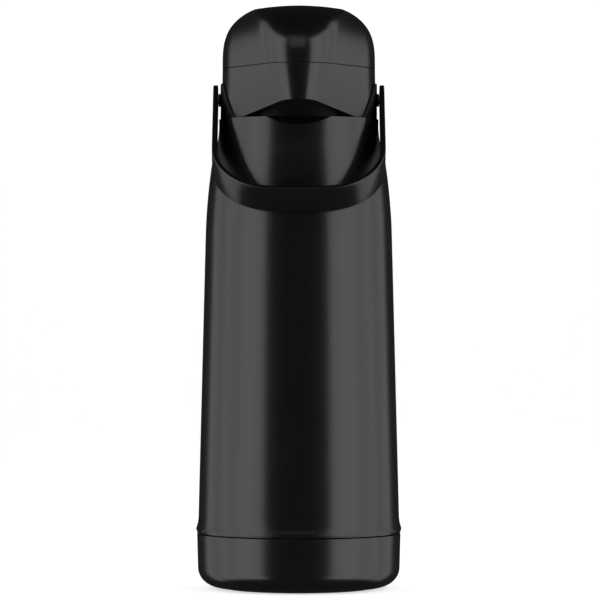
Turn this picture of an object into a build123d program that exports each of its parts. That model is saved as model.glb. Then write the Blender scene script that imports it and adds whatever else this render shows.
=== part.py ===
"""Glass-lined pump airpot: every piece is its own solid, written to parts/NODE.step.

Millimetres. +Z is up, the front with the beak faces -Y, and the origin is the middle of the underside.
A "depth" is a distance in front of the vertical axis, so it is minus Y.
"""

from build123d import *
import os
from math import asin, cos, pi, radians, sin, sqrt

# ---- driving dimensions -------------------------------------------------------------------
BASE_PAD_R = 48.5
BASE_PAD_HEIGHT = 2.0
BASE_BOTTOM_Z = 0.8          # the pad stands this far proud of the base cup
BASE_CORNER_WIDTH = 15.0
BASE_CORNER_HEIGHT = 13.0
BASE_R_LOW = 66.9
BASE_R_TOP = 67.5
BASE_TOP_Z = 36.3
BASE_WALL = 2.6
BASE_FLOOR_Z = 4.0

BODY_BOTTOM_Z = 36.8
BODY_LIP_R = 68.2
BODY_LIP_Z = 39.7
BODY_LOW_R = 66.5
BODY_LOW_Z = 48.0
BODY_BEND_R = 61.8           # the straight taper ends here and the shoulder curves in
BODY_BEND_Z = 234.0
BODY_TOP_R = 56.2
BODY_TOP_Z = 290.0
BODY_SHOULDER_R = 59.8       # the shoulder curve passes through this radius at BODY_SHOULDER_Z
BODY_SHOULDER_Z = 264.0
BODY_WALL = 2.2
SHOULDER_CUT_FRONT_Z = 256.0  # the body's top edge dips to here at the front
SHOULDER_CUT_SLOPE = 0.6

COLLAR_R = 52.9              # the deck's edge; the ears stand just inside it
EAR_R = 51.9
SKIRT_BOTTOM_Z = 224.0
COLLAR_MID_Z = 301.0         # the flare passes 0.2 mm outside its top radius here
COLLAR_MID_FLARE = 0.2
COLLAR_RECESS = 1.0
PANEL_PROUD = 0.7
PANEL_THICKNESS = 1.8
DECK_BOTTOM_Z = 306.0
DECK_Z = 310.5
DECK_HOLE_R = 20.5
NECK_R = 44.5
NECK_WALL = 2.5
NECK_TOP_Z = 325.0
EAR_TOP_Z = 334.0
EAR_TOP_HALF = 13.0
EAR_FOOT_HALF = 31.0
EAR_WALL = 3.1

HEAD_R = 50.6                # half width of the head at the seam
HEAD_LOW_R = 51.2            # the same at its lower end
HEAD_TIP = 80.0              # depth of the beak's tip
HEAD_NOSE_R = 23.0           # plan radius of the beak's tip at the seam
HEAD_LOW_NOSE_R = 11.0       # the same at its lower end: the beak gets sharper downwards
DOME_NOSE_GROWTH = 0.25      # and it grows by this much for each millimetre up the dome
HEAD_WALL = 2.4
HEAD_BOTTOM_Z = 310.8
SEAM_Z = 344.0
SEAM_GAP = 0.3
LIP_CENTRE_Z = 320.0
LIP_FLAT_HALF = 9.0
LIP_SIDE_HALF = 36.8
DOME_START_Z = 345.0
DOME_REACH = 44.0            # height over which the dome would close to a point
DOME_SIDE_POWER = 3.2
DOME_NOSE_POWER = 2.5
DOME_CUT_Z = 382.0
WEB_THICKNESS = 2.4
WEB_HOLE_R = 27.0

BUTTON_R = 30.3
BUTTON_TIP = 43.0
BUTTON_NOSE_R = 12.0
BUTTON_GAP = 0.4
BUTTON_TOP_Z = 385.5
BUTTON_SKIRT_Z = 371.0
BUTTON_CROWN_R = 170.0
BUTTON_WALL = 2.0

HOUSING_SCREW_R = 38.0       # the spout housing's screws stand on this circle
HOUSING_SCREW_ANGLES = (45, 135, 225, 315)
HOUSING_SCREW_SHANK_R = 1.5
HOUSING_SCREW_HEAD_R = 3.2
HOUSING_SCREW_HEAD = 2.0
HOUSING_BOSS_R = 4.8
LID_SCREW_SPOTS = ((27.0, 27.0), (-27.0, 27.0), (24.5, -36.0), (-24.5, -36.0))
LID_SCREW_SHANK_R = 1.4
LID_SCREW_HEAD_R = 2.8
LID_SCREW_LENGTH = 12.0
LID_BOSS_R = 3.3

HINGE_Y = 52.0
HINGE_KNUCKLE_R = 3.4
HINGE_PIN_R = 1.5
HINGE_CENTRE_HALF = 8.7
HINGE_OUTER = (9.0, 16.0)

PIVOT_Z = 323.5
PIVOT_PIN_R = 2.45
PIVOT_BORE_R = 2.5
PIVOT_BOSS_R = 4.25
HANDLE_REST_DEG = 44.0
HANDLE_HALF_WIDTH = 56.7
HANDLE_THICKNESS = 3.2
HANDLE_BAND = 20.0
HANDLE_REACH = 97.8
HANDLE_CORNER_R = 40.0

REFILL_OUTER_R = 57.0
REFILL_INNER_R = 51.5
GLASS_WALL = 1.5
REFILL_BOTTOM_Z = 20.0
MOUTH_Z = 300.0
MOUTH_RIM = 3.0
MOUTH_INNER_R = 22.7
MOUTH_OUTER_R = 28.5

CHIMNEY_R = 24.5
CHIMNEY_WALL = 2.5
CHIMNEY_TOP_Z = 341.0
PIPE_R = 5.0
PIPE_BORE_R = 3.6
PIPE_Z = 333.0
NOZZLE_DEPTH = 66.0
NOZZLE_END_Z = 321.8
DIP_TUBE_R = 4.0
DIP_TUBE_BORE_R = 3.2
DIP_TUBE_BOTTOM_Z = 33.0
VALVE_R = 8.0
VALVE_BOTTOM_Z = 290.0
VALVE_TOP_Z = 322.0
VALVE_SEAT_Z = 303.0
VALVE_SOCKET_Z = 297.0
PIPE_START_Z = 314.5
BALL_R = 4.5
BALL_CHAMBER_R = 5.6
BALL_CLEARANCE = 0.15

LID_BASE_Z = 345.0
LID_BASE_THICKNESS = 2.4
BELLOWS_R = 24.0
BELLOWS_VALLEY_R = 18.5
BELLOWS_WALL = 1.2
BELLOWS_FOLDS = 5
SPRING_R = 11.0
SPRING_WIRE_R = 0.8
SPRING_TURNS = 4.0
PLATE_THICKNESS = 3.0
VENT_DISC_THICKNESS = 2.0

UP = (Align.CENTER, Align.CENTER, Align.MIN)


# ---- small helpers ------------------------------------------------------------------------
def tube(outer_r, inner_r, z0, z1):
    """Upright tube between two heights."""
    return rod(outer_r, z0, z1) - rod(inner_r, z0 - 1, z1 + 1)


def rod(r, z0, z1):
    """Upright cylinder between two heights."""
    return Pos(0, 0, z0) * Cylinder(r, z1 - z0, align=UP)


def rod_x(r, x0, x1, y, z):
    """Cylinder along X between x0 and x1."""
    return Pos(x0, y, z) * (Rot(0, 90, 0) * Cylinder(r, x1 - x0, align=UP))


def block(x0, x1, y0, y1, z0, z1):
    """Box between two corners."""
    return Pos((x0 + x1) / 2, (y0 + y1) / 2, (z0 + z1) / 2) * Box(x1 - x0, y1 - y0, z1 - z0)


def turned(edges):
    """Solid of revolution about Z from edges drawn as (radius, height)."""
    return revolve(Plane.XZ * make_face(edges), axis=Axis.Z)


def closed(edges, points):
    """The edges, closed through the given points."""
    chain = [edges[-1] @ 1, *points, edges[0] @ 0]
    return [*edges, Polyline(*chain)]


def egg(radius, tip, nose_r, z):
    """Face at height z: a round back of the given radius, straight sides and a small round nose."""
    centre = tip - nose_r
    lean = asin((radius - nose_r) / centre)
    side = (radius * cos(lean), -radius * sin(lean))
    nose = (nose_r * cos(lean), -centre - nose_r * sin(lean))
    edges = [
        RadiusArc((0, radius), side, radius, short_sagitta=True),
        Line(side, nose),
        ThreePointArc(nose, (0, -tip), (-nose[0], nose[1])),
        Line((-nose[0], nose[1]), (-side[0], side[1])),
        RadiusArc((-side[0], side[1]), (0, radius), radius, short_sagitta=True),
    ]
    return Pos(0, 0, z) * make_face(edges)


def head_plan(inset, z):
    """Plan of the spout housing at height z, moved inwards by inset."""
    share = (z - HEAD_BOTTOM_Z) / (SEAM_Z - HEAD_BOTTOM_Z)
    radius = HEAD_LOW_R + (HEAD_R - HEAD_LOW_R) * share
    nose_r = HEAD_LOW_NOSE_R + (HEAD_NOSE_R - HEAD_LOW_NOSE_R) * share
    return egg(radius - inset, HEAD_TIP - inset, nose_r - inset, z)


def head_solid(inset, z0, z1):
    """Solid of the spout housing between two heights, moved inwards by inset."""
    return loft([head_plan(inset, z) for z in (z0, (z0 + z1) / 2, z1)], ruled=True)


def button_plan(inset, z):
    """Plan of the push button, moved inwards by inset."""
    return egg(BUTTON_R - inset, BUTTON_TIP - inset, BUTTON_NOSE_R - inset, z)


def dome_section(z, inset):
    """Plan of the lid's dome at height z, moved inwards by inset."""
    rise = max(z - DOME_START_Z, 0) / DOME_REACH
    side = sqrt(1 - rise**DOME_SIDE_POWER)
    front = sqrt(1 - rise**DOME_NOSE_POWER)
    nose_r = min(HEAD_NOSE_R + DOME_NOSE_GROWTH * (z - SEAM_Z), 0.9 * HEAD_R * side)
    return egg(HEAD_R * side - inset, HEAD_TIP * front - inset, nose_r - inset, z)


def dome(inset, z0, z1, sections=14):
    """Solid of the lid's dome between two heights, moved inwards by inset."""
    levels = [z0 + (z1 - z0) * sin(pi / 2 * i / (sections - 1)) for i in range(sections)]
    return loft([dome_section(z, inset) for z in levels], ruled=True)


def body_line(inset, z_low):
    """Outer outline of the body from the top edge down to z_low, moved inwards by inset."""
    slope = (BODY_LOW_R - BODY_BEND_R) / (BODY_BEND_Z - BODY_LOW_Z)
    low_r = BODY_BEND_R + slope * (BODY_BEND_Z - z_low)
    shoulder = ThreePointArc(
        (BODY_TOP_R - inset, BODY_TOP_Z),
        (BODY_SHOULDER_R - inset, BODY_SHOULDER_Z),
        (BODY_BEND_R - inset, BODY_BEND_Z),
    )
    return [shoulder, Line((BODY_BEND_R - inset, BODY_BEND_Z), (low_r - inset, z_low))]


def skirt_line(deck_r, inset):
    """Outline from the deck's edge down the flare, then along the body's outline, moved inwards by inset."""
    flare = ThreePointArc(
        (deck_r, DECK_Z),
        (deck_r + COLLAR_MID_FLARE, COLLAR_MID_Z),
        (BODY_TOP_R - inset, BODY_TOP_Z),
    )
    return [flare, *body_line(inset, SKIRT_BOTTOM_Z)]


def skirt_solid(deck_r, inset):
    """Solid inside that outline."""
    return turned(closed(skirt_line(deck_r, inset), [(0, SKIRT_BOTTOM_Z), (0, DECK_Z)]))


def above_shoulder_cut(drop=0.0):
    """Everything above the slanted plane and the level ring where the body ends and the collar starts."""
    reach = 120.0
    front_depth = 60.0
    front_z = SHOULDER_CUT_FRONT_Z - drop
    level_depth = front_depth - (BODY_TOP_Z - drop - front_z) / SHOULDER_CUT_SLOPE
    slanted_z = front_z - (reach - front_depth) * SHOULDER_CUT_SLOPE
    outline = Polyline(
        (-reach, slanted_z),
        (-level_depth, BODY_TOP_Z - drop),
        (reach, BODY_TOP_Z - drop),
        (reach, EAR_TOP_Z + 60),
        (-reach, EAR_TOP_Z + 60),
        (-reach, slanted_z),
    )
    return extrude(Plane.YZ * make_face(outline), amount=reach, both=True)


# ---- base -----------------------------------------------------------------------------------
def base_pad():
    return rod(BASE_PAD_R, 0, BASE_PAD_HEIGHT)


def base_cup():
    """Screw-on cup: rounded bottom corner, a recess for the pad, and a spigot that enters the body."""
    spigot_r = 64.3
    spigot_inner_r = 61.5
    spigot_top_z = 46.0
    step_z = 30.0
    corner_x = BASE_R_LOW - BASE_CORNER_WIDTH
    corner_z = BASE_BOTTOM_Z + BASE_CORNER_HEIGHT
    outline = [
        Line((0, BASE_BOTTOM_Z), (corner_x, BASE_BOTTOM_Z)),
        EllipticalCenterArc(
            (corner_x, corner_z), BASE_CORNER_WIDTH, BASE_CORNER_HEIGHT, start_angle=-90, arc_size=90
        ),
        Line((BASE_R_LOW, corner_z), (BASE_R_TOP, BASE_TOP_Z)),
    ]
    inner_r = BASE_R_LOW - BASE_WALL
    floor_r = corner_x - 2.0
    inside = [
        (spigot_r, BASE_TOP_Z),
        (spigot_r, spigot_top_z),
        (spigot_inner_r, spigot_top_z),
        (spigot_inner_r, step_z),
        (inner_r, step_z - 3.0),
        (inner_r, corner_z + 2.0),
        (floor_r + 8.0, BASE_FLOOR_Z + 2.0),
        (floor_r, BASE_FLOOR_Z),
        (0, BASE_FLOOR_Z),
    ]
    cup = turned(closed(outline, inside))
    return cup - rod(BASE_PAD_R + 0.05, -1, BASE_PAD_HEIGHT)


def refill_cushion():
    """Rubber cushion with a dished top and a hole for the refill's seal-off tip."""
    ring = tube(36.0, 12.0, BASE_FLOOR_Z, REFILL_BOTTOM_Z)
    groove = tube(30.0, 20.0, BASE_FLOOR_Z - 1, BASE_FLOOR_Z + 9.0)
    return ring - groove


# ---- vacuum refill ----------------------------------------------------------------------------
def vessel(radius, neck_r, bottom_z, shoulder_z, neck_z, top_z):
    """Blown glass vessel of even wall: flat bottom, round corner, straight side, domed shoulder, neck."""
    corner = 25.0

    def outline(inset):
        low = bottom_z + inset
        side = radius - inset
        neck = neck_r - inset
        flat = radius - corner
        sagitta = (corner - inset) * (1 - sqrt(0.5))
        shoulder_mid = (neck + 0.80 * (side - neck), shoulder_z + 0.55 * (neck_z - shoulder_z))
        return [
            Line((0, low), (flat, low)),
            ThreePointArc((flat, low), (side - sagitta, low + sagitta), (side, low + corner - inset)),
            Line((side, low + corner - inset), (side, shoulder_z)),
            ThreePointArc((side, shoulder_z), shoulder_mid, (neck, neck_z)),
            Line((neck, neck_z), (neck, top_z)),
        ]

    outer = turned(closed(outline(0), [(0, top_z)]))
    inner = turned(closed(outline(GLASS_WALL), [(0, top_z)]))
    return outer - inner


def glass_outer():
    """Outer wall of the refill, with the seal-off tip under its bottom."""
    wall = vessel(REFILL_OUTER_R, MOUTH_OUTER_R, REFILL_BOTTOM_Z, 222.0, 264.0, MOUTH_Z)
    tip = Pos(0, 0, REFILL_BOTTOM_Z - 7.0) * Cone(1.2, 4.0, 7.0, align=UP)
    return wall + tip


def glass_inner():
    """Inner wall of the refill, with the rim that joins the two walls at the mouth."""
    neck_r = MOUTH_INNER_R + GLASS_WALL
    wall = vessel(REFILL_INNER_R, neck_r, REFILL_BOTTOM_Z + 7.0, 219.0, 258.0, MOUTH_Z)
    return wall + tube(MOUTH_OUTER_R, MOUTH_INNER_R, MOUTH_Z, MOUTH_Z + MOUTH_RIM)


def mouth_gasket():
    return tube(MOUTH_OUTER_R, DECK_HOLE_R, MOUTH_Z + MOUTH_RIM, DECK_BOTTOM_Z)


# ---- outer body, collar, front panel -----------------------------------------------------------
def outer_body():
    """Tapered shell with a flared lip; its top edge dips at the front, behind the resting handle."""
    lip = [
        Spline(
            (BODY_LOW_R, BODY_LOW_Z),
            (BODY_LIP_R, BODY_LIP_Z),
            tangents=[(0.03, -1), (0.25, -1)],
        ),
        Line((BODY_LIP_R, BODY_LIP_Z), (BASE_R_TOP - 0.3, BODY_BOTTOM_Z)),
    ]
    outline = body_line(0, BODY_LOW_Z) + lip
    outer = turned(closed(outline, [(0, BODY_BOTTOM_Z), (0, BODY_TOP_Z)]))
    inner_line = body_line(BODY_WALL, BODY_BOTTOM_Z - 1)
    inner = turned(closed(inner_line, [(0, BODY_BOTTOM_Z - 1), (0, BODY_TOP_Z)]))
    shell = outer - inner - rod(BODY_TOP_R - BODY_WALL, BODY_TOP_Z - 1, BODY_TOP_Z + 5)
    return shell - above_shoulder_cut()


def ear(margin=0.0):
    """The two gable-shaped ears, as a slab right across the collar; margin grows the gable."""
    top = EAR_TOP_Z + margin
    outline = Polyline(
        (-EAR_FOOT_HALF - margin, DECK_Z - 0.5),
        (-EAR_TOP_HALF - margin, top),
        (EAR_TOP_HALF + margin, top),
        (EAR_FOOT_HALF + margin, DECK_Z - 0.5),
        (-EAR_FOOT_HALF - margin, DECK_Z - 0.5),
    )
    gable = Plane.YZ * make_face(outline)
    gable = fillet(gable.vertices().group_by(Axis.Z)[-1], 4.0)
    return extrude(gable, 80, both=True)


def ears():
    ring = tube(EAR_R, EAR_R - EAR_WALL, DECK_Z - 0.5, EAR_TOP_Z + 1)
    return ring & ear()


def neck_ribs():
    """Two short upright ribs on the front of the neck wall, under the beak."""
    rib_x = 27.0
    rib_width = 1.4
    rib_height = 5.5
    wall_depth = sqrt(NECK_R**2 - rib_x**2)
    return [
        block(
            side * rib_x - rib_width / 2,
            side * rib_x + rib_width / 2,
            -wall_depth - 2.0,
            -wall_depth + 1.0,
            DECK_Z,
            DECK_Z + rib_height,
        )
        for side in (-1, 1)
    ]


def at_housing_screws(shape):
    """The shape, repeated at the four screws of the spout housing."""
    return [
        Pos(HOUSING_SCREW_R * cos(radians(a)), HOUSING_SCREW_R * sin(radians(a)), 0) * shape
        for a in HOUSING_SCREW_ANGLES
    ]


def pivot_bosses():
    """Round bosses that fill the gap between the ears and the handle's arms."""
    boss_end = HANDLE_HALF_WIDTH - HANDLE_THICKNESS - 0.3
    core = EAR_R - 2.4
    bar = rod_x(PIVOT_BOSS_R, -boss_end, boss_end, 0, PIVOT_Z)
    return bar - rod_x(PIVOT_BOSS_R + 1, -core, core, 0, PIVOT_Z)


def shoulder_collar():
    """Collar: flared skirt, deck over the refill's mouth, neck wall, screw bosses and two pivot ears."""
    spigot_outer_r = 53.8
    spigot_inner_r = 51.0
    spigot_bottom_z = 262.0
    core_r = 50.2
    skirt = skirt_solid(COLLAR_R, COLLAR_RECESS) & above_shoulder_cut(-0.3)
    collar = skirt - rod(core_r, 200, DECK_BOTTOM_Z) - scoop()
    collar += tube(spigot_outer_r, spigot_inner_r, spigot_bottom_z, BODY_TOP_Z + 4)
    collar -= rod(DECK_HOLE_R, 290, 330)
    collar += tube(NECK_R, NECK_R - NECK_WALL, DECK_Z, NECK_TOP_Z)
    collar += at_housing_screws(rod(HOUSING_BOSS_R, DECK_Z, NECK_TOP_Z))
    collar += neck_ribs()
    collar += ears() + pivot_bosses()
    collar -= rod_x(PIVOT_BORE_R, -80, 80, 0, PIVOT_Z)
    return collar - at_housing_screws(rod(HOUSING_SCREW_SHANK_R, DECK_Z + 1, NECK_TOP_Z + 1))


def front_panel():
    """Shield-shaped panel on the front of the collar, with a shallow scoop under the spout."""
    half_top = 44.0
    half_low = 26.0
    low_z = 264.9
    shield = [
        Line((-half_top, DECK_Z), (half_top, DECK_Z)),
        ThreePointArc((half_top, DECK_Z), (38.6, 290.0), (half_low, low_z)),
        ThreePointArc((half_low, low_z), (0, 262.0), (-half_low, low_z)),
        ThreePointArc((-half_low, low_z), (-38.6, 290.0), (-half_top, DECK_Z)),
    ]
    face = make_face(shield)
    face = fillet(face.vertices().group_by(Axis.Y)[-1], 1.2)
    prism = extrude(Plane.XZ * face, amount=90)
    outer = skirt_solid(COLLAR_R + PANEL_THICKNESS, -PANEL_PROUD)
    inner = skirt_solid(COLLAR_R, COLLAR_RECESS)
    return ((outer - inner) & prism) - scoop()


def scoop():
    """The large ball that dishes the panel and the deck's edge under the spout."""
    radius = 100.0
    return Pos(0, -104.5, 392.0) * Sphere(radius)


# ---- spout housing ------------------------------------------------------------------------------
def lip_cut():
    """Space under the beak: flat in the middle, sloping down to the sides."""
    outline = Polyline(
        (-LIP_SIDE_HALF, HEAD_BOTTOM_Z),
        (-LIP_FLAT_HALF, LIP_CENTRE_Z),
        (LIP_FLAT_HALF, LIP_CENTRE_Z),
        (LIP_SIDE_HALF, HEAD_BOTTOM_Z),
        (LIP_SIDE_HALF, HEAD_BOTTOM_Z - 5),
        (-LIP_SIDE_HALF, HEAD_BOTTOM_Z - 5),
        (-LIP_SIDE_HALF, HEAD_BOTTOM_Z),
    )
    face = make_face(outline)
    face = fillet(face.vertices().group_by(Axis.Y)[-1], 24.0)
    return Pos(0, -30, 0) * extrude(Plane.XZ * face, amount=70)


def knuckles(x0, x1, z_low, z_high):
    """Hinge knuckle between x0 and x1, with the lug that carries it."""
    barrel = rod_x(HINGE_KNUCKLE_R, x0, x1, HINGE_Y, SEAM_Z)
    return barrel + block(x0, x1, 45.5, HINGE_Y, z_low, z_high)


def spout_housing():
    """Lower half of the head: beak wall with an arched lip, a web over the neck, hinge knuckles."""
    top = SEAM_Z - SEAM_GAP / 2
    shell = head_solid(0, HEAD_BOTTOM_Z, top) - head_solid(HEAD_WALL, HEAD_BOTTOM_Z, top)
    web = head_solid(HEAD_WALL - 0.2, NECK_TOP_Z, NECK_TOP_Z + WEB_THICKNESS)
    web -= rod(WEB_HOLE_R, 320, 330)
    web -= at_housing_screws(rod(HOUSING_SCREW_SHANK_R + 0.2, 320, 330))
    web -= Pos(0, -NOZZLE_DEPTH, 0) * rod(PIPE_R + 1.6, 320, 330)
    housing = shell + web
    housing -= lip_cut()
    housing -= ear(0.3) - rod(HEAD_R - HEAD_WALL - 3.0, 300, 340)
    x0, x1 = HINGE_OUTER
    for side in (-1, 1):
        low, high = sorted((side * x0, side * x1))
        knuckle = knuckles(low, high, SEAM_Z - HINGE_KNUCKLE_R, top)
        housing += knuckle - rod(HEAD_R - HEAD_WALL / 2, 300, 350)
    housing -= rod_x(HINGE_KNUCKLE_R + 0.5, -x0, x0, HINGE_Y, SEAM_Z)
    return housing - rod_x(HINGE_PIN_R, -30, 30, HINGE_Y, SEAM_Z)


def lid_hinge_pin():
    return rod_x(HINGE_PIN_R, -HINGE_OUTER[1], HINGE_OUTER[1], HINGE_Y, SEAM_Z)


def housing_screws():
    """Four pan-head screws down through the web into the collar's bosses."""
    web_top = NECK_TOP_Z + WEB_THICKNESS
    head = rod(HOUSING_SCREW_HEAD_R, web_top, web_top + HOUSING_SCREW_HEAD)
    slot = block(-4, 4, -0.4, 0.4, web_top + 1.0, web_top + 3)
    head -= slot + Rot(0, 0, 90) * slot
    return Compound(children=at_housing_screws(head + rod(HOUSING_SCREW_SHANK_R, DECK_Z + 2, web_top)))


# ---- liquid path ----------------------------------------------------------------------------------
def mouth_stopper():
    """Plug in the refill's mouth, with air holes and the chimney that the lid's gasket closes."""
    disc_r = 26.0
    disc_top_z = DECK_Z + 3.5
    stopper = rod(disc_r, DECK_Z, disc_top_z) + rod(DECK_HOLE_R - 0.2, MOUTH_Z, DECK_Z)
    stopper += tube(CHIMNEY_R, CHIMNEY_R - CHIMNEY_WALL, DECK_Z, CHIMNEY_TOP_Z)
    stopper -= rod(VALVE_R + 0.05, 290, 330)
    air_hole = Pos(14.0, 0, 0) * rod(2.5, 290, 330)
    stopper -= [Rot(0, 0, a) * air_hole for a in (0, 90, 180, 270)]
    return stopper - Pos(0, -15, PIPE_Z) * (Rot(90, 0, 0) * Cylinder(6.5, 20, align=UP))


def pipe_seal():
    """Rubber ring round the spout pipe, in the chimney's wall."""
    ring = Cylinder(6.4, 5.0, align=UP) - Cylinder(PIPE_R + 0.05, 30)
    return Pos(0, -20.8, PIPE_Z) * (Rot(90, 0, 0) * ring)


def spout_pipe():
    """Pipe from the valve up, forward through the chimney and down to the nozzle under the beak."""
    bend_r = 9.0
    path = FilletPolyline(
        (0, 0, PIPE_START_Z),
        (0, 0, PIPE_Z),
        (0, -NOZZLE_DEPTH, PIPE_Z),
        (0, -NOZZLE_DEPTH, NOZZLE_END_Z),
        radius=bend_r,
    )
    start = Plane((0, 0, PIPE_START_Z))
    return sweep(start * Circle(PIPE_R), path) - sweep(start * Circle(PIPE_BORE_R), path)


def valve_chamber():
    """Tip-over valve: socket for the dip tube, seat, ball chamber and socket for the spout pipe."""
    chamber = rod(VALVE_R, VALVE_BOTTOM_Z, VALVE_TOP_Z)
    chamber -= rod(DIP_TUBE_R + 0.05, VALVE_BOTTOM_Z - 1, VALVE_SOCKET_Z)
    chamber -= rod(PIPE_BORE_R, VALVE_SOCKET_Z - 1, VALVE_SEAT_Z + 1)
    chamber -= rod(BALL_CHAMBER_R, VALVE_SEAT_Z, PIPE_START_Z)
    return chamber - rod(PIPE_R + 0.05, PIPE_START_Z, VALVE_TOP_Z + 1)


def valve_ball():
    rise = sqrt(BALL_R**2 - PIPE_BORE_R**2) + BALL_CLEARANCE
    return Pos(0, 0, VALVE_SEAT_Z + rise) * Sphere(BALL_R)


def dip_tube():
    """Suction tube with a slanted foot, so that it can't seal itself on the glass."""
    steel = tube(DIP_TUBE_R, DIP_TUBE_BORE_R, DIP_TUBE_BOTTOM_Z, VALVE_SOCKET_Z)
    return steel - Pos(0, 0, DIP_TUBE_BOTTOM_Z - 3.2) * (Rot(0, 35, 0) * Box(30, 30, 6))


# ---- lid and pump -------------------------------------------------------------------------------------
def lid_shell():
    """Upper half of the head: domed shell, guide for the button, screw bosses, hinge knuckle."""
    bottom = SEAM_Z + SEAM_GAP / 2
    outer = dome(0, bottom, DOME_CUT_Z)
    hollow = dome(HEAD_WALL, bottom - 0.01, DOME_CUT_Z - HEAD_WALL)
    guide_bottom_z = 354.0
    guide_wall = 1.9
    guide = extrude(button_plan(-BUTTON_GAP - guide_wall, guide_bottom_z), 60)
    boss = rod(LID_BOSS_R, LID_BASE_Z + LID_BASE_THICKNESS, DOME_CUT_Z)
    bosses = [Pos(x, y, 0) * boss for x, y in LID_SCREW_SPOTS]
    inside = (guide + bosses) & dome(HEAD_WALL / 2, bottom + 1, DOME_CUT_Z - HEAD_WALL / 2)
    shell = outer - hollow + inside
    shell -= extrude(button_plan(-BUTTON_GAP, 340), 60)
    shell -= [
        Pos(x, y, 0) * rod(LID_SCREW_SHANK_R, LID_BASE_Z, LID_BASE_Z + LID_SCREW_LENGTH + 2)
        for x, y in LID_SCREW_SPOTS
    ]
    half = HINGE_CENTRE_HALF
    lug = knuckles(-half, half, bottom, SEAM_Z + HINGE_KNUCKLE_R) - rod(HEAD_R - HEAD_WALL / 2, 300, 400)
    x0, x1 = HINGE_OUTER
    for side in (-1, 1):
        low, high = sorted((side * (x0 - 0.2), side * (x1 + 0.5)))
        shell -= rod_x(HINGE_KNUCKLE_R + 0.5, low, high, HINGE_Y, SEAM_Z)
    shell += lug
    return shell - rod_x(HINGE_PIN_R + 0.05, -30, 30, HINGE_Y, SEAM_Z)


def lid_base():
    """Plate that closes the lid from below, with the air hole, screw holes and a snap hook in the nose."""
    plate = extrude(dome_section(LID_BASE_Z, HEAD_WALL + 0.4), LID_BASE_THICKNESS)
    plate -= rod(8.0, 340, 350)
    plate -= [Pos(x, y, 0) * rod(LID_SCREW_SHANK_R + 0.2, 340, 350) for x, y in LID_SCREW_SPOTS]
    hook_depth = 73.0
    hook = block(-5, 5, -hook_depth, -hook_depth + 1.8, 336.5, LID_BASE_Z)
    hook += block(-5, 5, -hook_depth - 1.2, -hook_depth, 336.5, 338.5)
    plate -= rod_x(HINGE_KNUCKLE_R + 0.8, -22, 22, HINGE_Y, SEAM_Z)
    return plate + hook


def lid_screws():
    """Four screws up through the lid base into the lid's bosses."""
    head = rod(LID_SCREW_HEAD_R, LID_BASE_Z - 1.6, LID_BASE_Z)
    head -= block(-3, 3, -0.35, 0.35, LID_BASE_Z - 2, LID_BASE_Z - 0.9)
    screw = head + rod(LID_SCREW_SHANK_R, LID_BASE_Z, LID_BASE_Z + LID_SCREW_LENGTH)
    return Compound(children=[Pos(x, y, 0) * screw for x, y in LID_SCREW_SPOTS])


def lid_gasket():
    return tube(CHIMNEY_R + 0.8, CHIMNEY_R - CHIMNEY_WALL - 0.8, CHIMNEY_TOP_Z + 0.2, LID_BASE_Z)


def bellows():
    """Rubber bellows between the lid base and the bellows plate, folded like a concertina."""
    low = LID_BASE_Z + LID_BASE_THICKNESS
    pitch = (BUTTON_SKIRT_Z - low) / BELLOWS_FOLDS
    outer = []
    for i in range(BELLOWS_FOLDS):
        outer.append((BELLOWS_VALLEY_R, low + i * pitch))
        outer.append((BELLOWS_R, low + (i + 0.5) * pitch))
    outer.append((BELLOWS_VALLEY_R, BUTTON_SKIRT_Z))
    inner = [(r - BELLOWS_WALL, z) for r, z in reversed(outer)]
    return turned(Polyline(*outer, *inner, outer[0]))


def return_spring():
    """Open coil spring inside the bellows."""
    low = LID_BASE_Z + LID_BASE_THICKNESS + SPRING_WIRE_R
    height = BUTTON_SKIRT_Z - SPRING_WIRE_R - low
    coil = Helix(height / SPRING_TURNS, height, SPRING_R)
    wire = sweep(Plane(coil @ 0, z_dir=coil % 0) * Circle(SPRING_WIRE_R), coil, is_frenet=True)
    return Pos(0, 0, low) * wire


def bellows_plate():
    plate = rod(22.0, BUTTON_SKIRT_Z, BUTTON_SKIRT_Z + PLATE_THICKNESS)
    return plate - rod(2.5, 360, 380)


def vent_valve():
    """Rubber disc on the plate's vent hole."""
    low = BUTTON_SKIRT_Z + PLATE_THICKNESS
    return rod(5.5, low, low + VENT_DISC_THICKNESS)


def push_button():
    """Crowned pad with a skirt and a stem that bears on the vent valve."""
    roof_z = 380.0
    stem_bottom = BUTTON_SKIRT_Z + PLATE_THICKNESS + VENT_DISC_THICKNESS
    crown = Pos(0, -6.0, BUTTON_TOP_Z - BUTTON_CROWN_R) * Sphere(BUTTON_CROWN_R)
    pad = extrude(button_plan(0, BUTTON_SKIRT_Z), BUTTON_TOP_Z + 1 - BUTTON_SKIRT_Z) & crown
    pad = fillet(pad.edges().filter_by_position(Axis.Z, 380.5, 386), 0.9)
    hollow = extrude(button_plan(BUTTON_WALL, BUTTON_SKIRT_Z), roof_z - BUTTON_SKIRT_Z)
    stem = rod(6.0, stem_bottom, roof_z + 1)
    ribs = block(-29, 29, -0.8, 0.8, roof_z - 3.5, roof_z + 1)
    ribs += block(-0.8, 0.8, -41, 29, roof_z - 3.5, roof_z + 1)
    return pad - hollow + stem + ribs


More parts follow.
